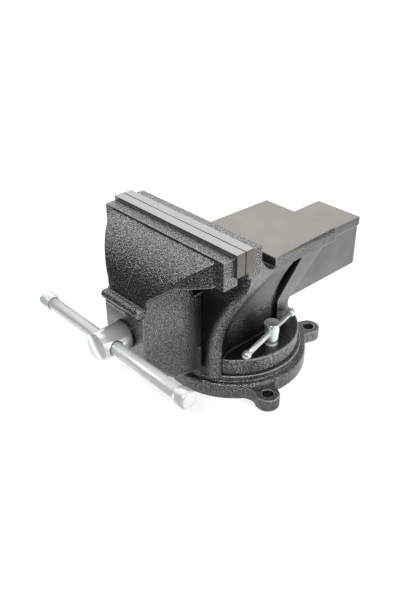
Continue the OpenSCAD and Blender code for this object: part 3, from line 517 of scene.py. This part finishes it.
# Jaw plates: two bars of hardened steel with slightly broken edges, ground on top, sawn brown on
# their ends, and milled with a crossed grip on the faces that hold the work.
def milled_grip():
    """Node group: crossed grooves at a given pitch."""
    group = bpy.data.node_groups.new("milled_grip", "ShaderNodeTree")
    group.interface.new_socket("Pitch", in_out="INPUT", socket_type="NodeSocketFloat").default_value = 0.0024
    group.interface.new_socket("Height", in_out="OUTPUT", socket_type="NodeSocketFloat")
    entry = group.nodes.new("NodeGroupInput")
    leave = group.nodes.new("NodeGroupOutput")
    place = group.nodes.new("ShaderNodeTexCoord")
    axes = group.nodes.new("ShaderNodeSeparateXYZ")
    group.links.new(place.outputs["Object"], axes.inputs[0])
    turn = node_math(group, "DIVIDE", 2 * math.pi, entry.outputs["Pitch"])
    waves = []
    for slant in ("ADD", "SUBTRACT"):
        across = node_math(group, slant, axes.outputs["X"], axes.outputs["Z"])
        waves.append(node_math(group, "SINE", node_math(group, "MULTIPLY", across, turn), 0.0))
    group.links.new(node_math(group, "MINIMUM", *waves), leave.inputs["Height"])
    return group


grip = milled_grip()
plate_edge = 0.0005
sawn_depth = 0.0006
grip_depth = 0.0008
rim_side, rim_foot, rim_top = 0.0015, 0.0014, 0.0013
mask_soft = 0.0003
far = 0.3


def plate_steel(name, low, high, face):
    """Ground steel for the plate in a box, with its grip on the face at one place along the vise."""
    mat, tree, shader = new_surface(name, 1.0, 0.36)
    marks = add_group(tree, grinding, Stretch=(14.0, 900.0, 900.0))
    grip_low, grip_high = face - grip_depth, face + grip_depth
    inner = mask_box(tree, (low[0] + sawn_depth, -far, -far), (high[0] - sawn_depth, far, far), mask_soft)
    top = mask_box(tree, (-far, -far, high[2] - plate_edge), (far, far, far), mask_soft)
    joint = mask_box(tree, (-far, grip_low, -far), (far, grip_high, far), mask_soft)
    # Painted shade: a dashed near-black line along the gripping edges, where the gap between the plates lies
    # in shade.
    painted_gap_shade = node_math(tree, "MULTIPLY", joint, node_ramp(tree, marks["Marks"], 0.38, 0.52, 0.25, 1.0))
    held = mask_box(
        tree, (low[0] + rim_side, grip_low, low[2] + rim_foot),
        (high[0] - rim_side, grip_high, high[2] - rim_top), mask_soft)
    bright = blend_colour(tree, marks["Marks"], (0.42, 0.42, 0.40), (0.58, 0.572, 0.55))
    sawn = blend_colour(tree, marks["Stain"], (0.165, 0.154, 0.136), (0.25, 0.232, 0.207))
    side = blend_colour(tree, marks["Marks"], (0.36, 0.355, 0.335), (0.50, 0.495, 0.47))
    metal = blend_colour(tree, inner, sawn, blend_colour(tree, top, side, bright))
    tree.links.new(blend_colour(tree, painted_gap_shade, metal, (0.05, 0.048, 0.045)), shader.inputs["Base Color"])
    tree.links.new(blend_value(tree, marks["Stain"], 0.30, 0.44), shader.inputs["Roughness"])
    fine = node_math(tree, "MULTIPLY", marks["Marks"], 0.12)
    raise_surface(tree, shader, blend_value(tree, held, fine, add_group(tree, grip)["Height"]), 0.8, 0.0004)
    return mat


def bevelled_copy(node, name, edge):
    """A copy of a CAD piece with its sharp edges broken."""
    mesh, bm = merged_mesh(node, name)
    bmesh.ops.dissolve_limit(bm, angle_limit=math.radians(1.0), verts=bm.verts[:], edges=bm.edges[:])
    sharp = [e for e in bm.edges if e.is_manifold and e.calc_face_angle() > math.radians(50.0)]
    bmesh.ops.bevel(
        bm, geom=sharp, offset=edge, offset_type="OFFSET", affect="EDGES", segments=2, profile=0.5,
        material=-1, clamp_overlap=True)
    piece = new_piece(mesh, bm)
    shade_smooth(piece.data, False)
    return piece


for node, rides_on, outward in (("fixed_jaw_plate", "body", -1.0), ("movable_jaw_plate", "jaw", 1.0)):
    low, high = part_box(node)
    face = low[1] if outward < 0 else high[1]
    plate = bevelled_copy(node, "ground_" + node, plate_edge)
    plate.data.materials.append(plate_steel(node + "_steel", low, high, face))
    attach(plate, rides_on)
    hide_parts(node)


# Zinc-plated pieces: tommy bar and its caps, lock screws with their bars and knobs, washers, collar pin and
# nut bolt, turned from bar steel and plated bright. The thrust washer is coloured near-black as painted
# shade, standing for the shadowed gap behind the spindle head.
def shade_turned(mesh):
    """Shades round faces smooth and keeps the edges crisp."""
    shade_smooth(mesh, True)
    mesh.set_sharp_from_angle(angle=math.radians(32.0))


def turned_copy(node, name):
    """A copy of a turned CAD piece."""
    piece = new_piece(*merged_mesh(node, name))
    shade_turned(piece.data)
    return piece


def zinc_plate(name, metallic, low=(0.88, 0.93, 0.925), high=(0.95, 0.985, 0.98)):
    """Zinc plating with faint cloudy patches, bright unless it is given darker colours."""
    mat, tree, shader = new_surface(name, metallic, 0.25)
    marks = add_group(tree, grinding, Stretch=(160.0, 160.0, 160.0))
    plated = blend_colour(tree, marks["Stain"], low, high)
    tree.links.new(plated, shader.inputs["Base Color"])
    tree.links.new(blend_value(tree, marks["Stain"], 0.18, 0.30), shader.inputs["Roughness"])
    return mat, tree, shader, plated


bar_zinc = zinc_plate("bar_zinc", 0.48)[0]
lock_zinc = zinc_plate("lock_zinc", 0.88)[0]
# Painted shade: the thrust washer is near-black, standing for the shadowed gap behind the spindle head.
painted_shade_zinc = zinc_plate("painted_shade_zinc", 0.88, (0.03, 0.03, 0.028), (0.10, 0.10, 0.095))[0]
for node, rides_on, plating in (
        ("thrust_washer", "screw", painted_shade_zinc), ("spring_washer", "screw", lock_zinc),
        ("collar_pin", "screw", lock_zinc), ("tommy_bar", "tommy", bar_zinc),
        ("bar_cap_left", "tommy", bar_zinc), ("bar_cap_right", "tommy", bar_zinc),
        ("lock_screw_left", "lock_left", lock_zinc), ("lock_screw_right", "lock_right", lock_zinc),
        ("lock_bar_left", "lever_left", lock_zinc), ("lock_knobs_left", "lever_left", lock_zinc),
        ("lock_bar_right", "lever_right", lock_zinc), ("lock_knobs_right", "lever_right", lock_zinc),
        ("lock_washer_left", "body", lock_zinc), ("lock_washer_right", "body", lock_zinc),
        ("nut_bolt", "body", lock_zinc), ("nut_washer", "body", lock_zinc)):
    piece = turned_copy(node, "bright_" + node)
    piece.data.materials.append(plating)
    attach(piece, rides_on)
    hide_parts(node)


# Spindle: a turned steel screw. Its drilled head and plain neck are plated, and behind the
# collar it carries a coarse right-hand trapezoidal thread cut from the solid.
spindle_low, spindle_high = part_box("spindle")
spindle_z = (spindle_low[2] + spindle_high[2]) / 2
thread_r = 0.0130
thread_root = 0.0102
thread_pitch = 0.0060
thread_steps = 28
thread_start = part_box("retaining_collar")[1][1] + thread_pitch


def cut_off(bm, place, side):
    """Cuts away what lies past a plane across the spindle, and closes the cut."""
    bmesh.ops.bisect_plane(
        bm, geom=bm.verts[:] + bm.edges[:] + bm.faces[:], dist=1e-7,
        plane_co=(0.0, place, 0.0), plane_no=(0.0, side, 0.0), clear_outer=True)
    bmesh.ops.holes_fill(bm, edges=[e for e in bm.edges if e.is_boundary], sides=0)


spindle = turned_copy("spindle", "spindle_screw")
bm = bmesh.new()
bm.from_mesh(spindle.data)
cut_off(bm, thread_start, 1.0)

ridge_bm = bmesh.new()
profile = ((thread_r, 0.0), (thread_r, 0.36), (thread_root, 0.52), (thread_root, 0.84), (thread_r, 1.0))
first_turn = thread_start - thread_pitch
ridge = [ridge_bm.verts.new((r, first_turn + t * thread_pitch, spindle_z)) for r, t in profile]
ridge_edges = [ridge_bm.edges.new(pair) for pair in zip(ridge, ridge[1:])]
turns = math.ceil((spindle_high[1] - thread_start) / thread_pitch) + 2
bmesh.ops.spin(
    ridge_bm, geom=ridge + ridge_edges, cent=(0.0, 0.0, spindle_z), axis=(0.0, 1.0, 0.0),
    dvec=(0.0, thread_pitch / thread_steps, 0.0), angle=2 * math.pi * turns, steps=thread_steps * turns,
    use_merge=False)
bmesh.ops.remove_doubles(ridge_bm, verts=ridge_bm.verts[:], dist=2e-5)
cut_off(ridge_bm, thread_start, -1.0)
cut_off(ridge_bm, spindle_high[1], 1.0)
bmesh.ops.recalc_face_normals(ridge_bm, faces=ridge_bm.faces[:])

thread_mesh = bpy.data.meshes.new("thread_ridge")
ridge_bm.to_mesh(thread_mesh)
ridge_bm.free()
bm.from_mesh(thread_mesh)
bpy.data.meshes.remove(thread_mesh)
bm.to_mesh(spindle.data)
bm.free()
shade_turned(spindle.data)

spindle_zinc, tree, shader, plated = zinc_plate("spindle_zinc", 0.56)
bar_low, bar_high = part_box("tommy_bar")
hole_place = (0.0, (bar_low[1] + bar_high[1]) / 2, spindle_z)
hole_r = (bar_high[1] - bar_low[1]) / 2
rim_inner, rim_outer = hole_r + 0.0009, hole_r + 0.0017
# Painted shadow: a dark ring on the head around the tommy bar's hole, where the gap around the bar lies in
# shade.
place = tree.nodes.new("ShaderNodeTexCoord").outputs["Object"]
from_bar = node_vector(tree, "DISTANCE", node_vector(tree, "MULTIPLY", place, (0.0, 1.0, 1.0)), hole_place)
hole_shadow_ring = node_ramp(tree, from_bar, rim_outer, rim_inner, 0.0, 1.0)
tree.links.new(blend_colour(tree, hole_shadow_ring, plated, (0.03, 0.035, 0.035)), shader.inputs["Base Color"])
spindle.data.materials.append(spindle_zinc)

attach(spindle, "screw")
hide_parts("spindle")


# Dark steel pieces: plate screws, slot nuts, spring and collar. They are bought or turned from
# bar, and blackened in oil.
dark_steel, tree, shader = new_surface("oiled_steel", 0.9, 0.4)
marks = add_group(tree, grinding, Stretch=(300.0, 300.0, 300.0))
black = blend_colour(tree, marks["Stain"], (0.10, 0.10, 0.105), (0.20, 0.20, 0.205))
tree.links.new(black, shader.inputs["Base Color"])
tree.links.new(blend_value(tree, marks["Marks"], 0.30, 0.50), shader.inputs["Roughness"])
for node in (
        "fixed_jaw_screws", "movable_jaw_screws", "slot_nut_left", "slot_nut_right", "spindle_spring",
        "retaining_collar"):
    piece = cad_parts[node]
    piece.data.materials.clear()
    piece.data.materials.append(dark_steel)


# Spindle nut: a grey iron casting, left bare and slightly greasy. One bolt from below holds it
# in the body.
nut_iron, tree, shader = new_surface("bare_iron", 0.6, 0.6)
dimples = add_group(tree, hammer, Size=700.0)
iron = blend_colour(tree, dimples["Cloud"], (0.16, 0.155, 0.15), (0.27, 0.26, 0.25))
tree.links.new(iron, shader.inputs["Base Color"])
raise_surface(tree, shader, dimples["Height"], 0.3, 0.0003)
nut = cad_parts["spindle_nut"]
nut.data.materials.clear()
nut.data.materials.append(nut_iron)
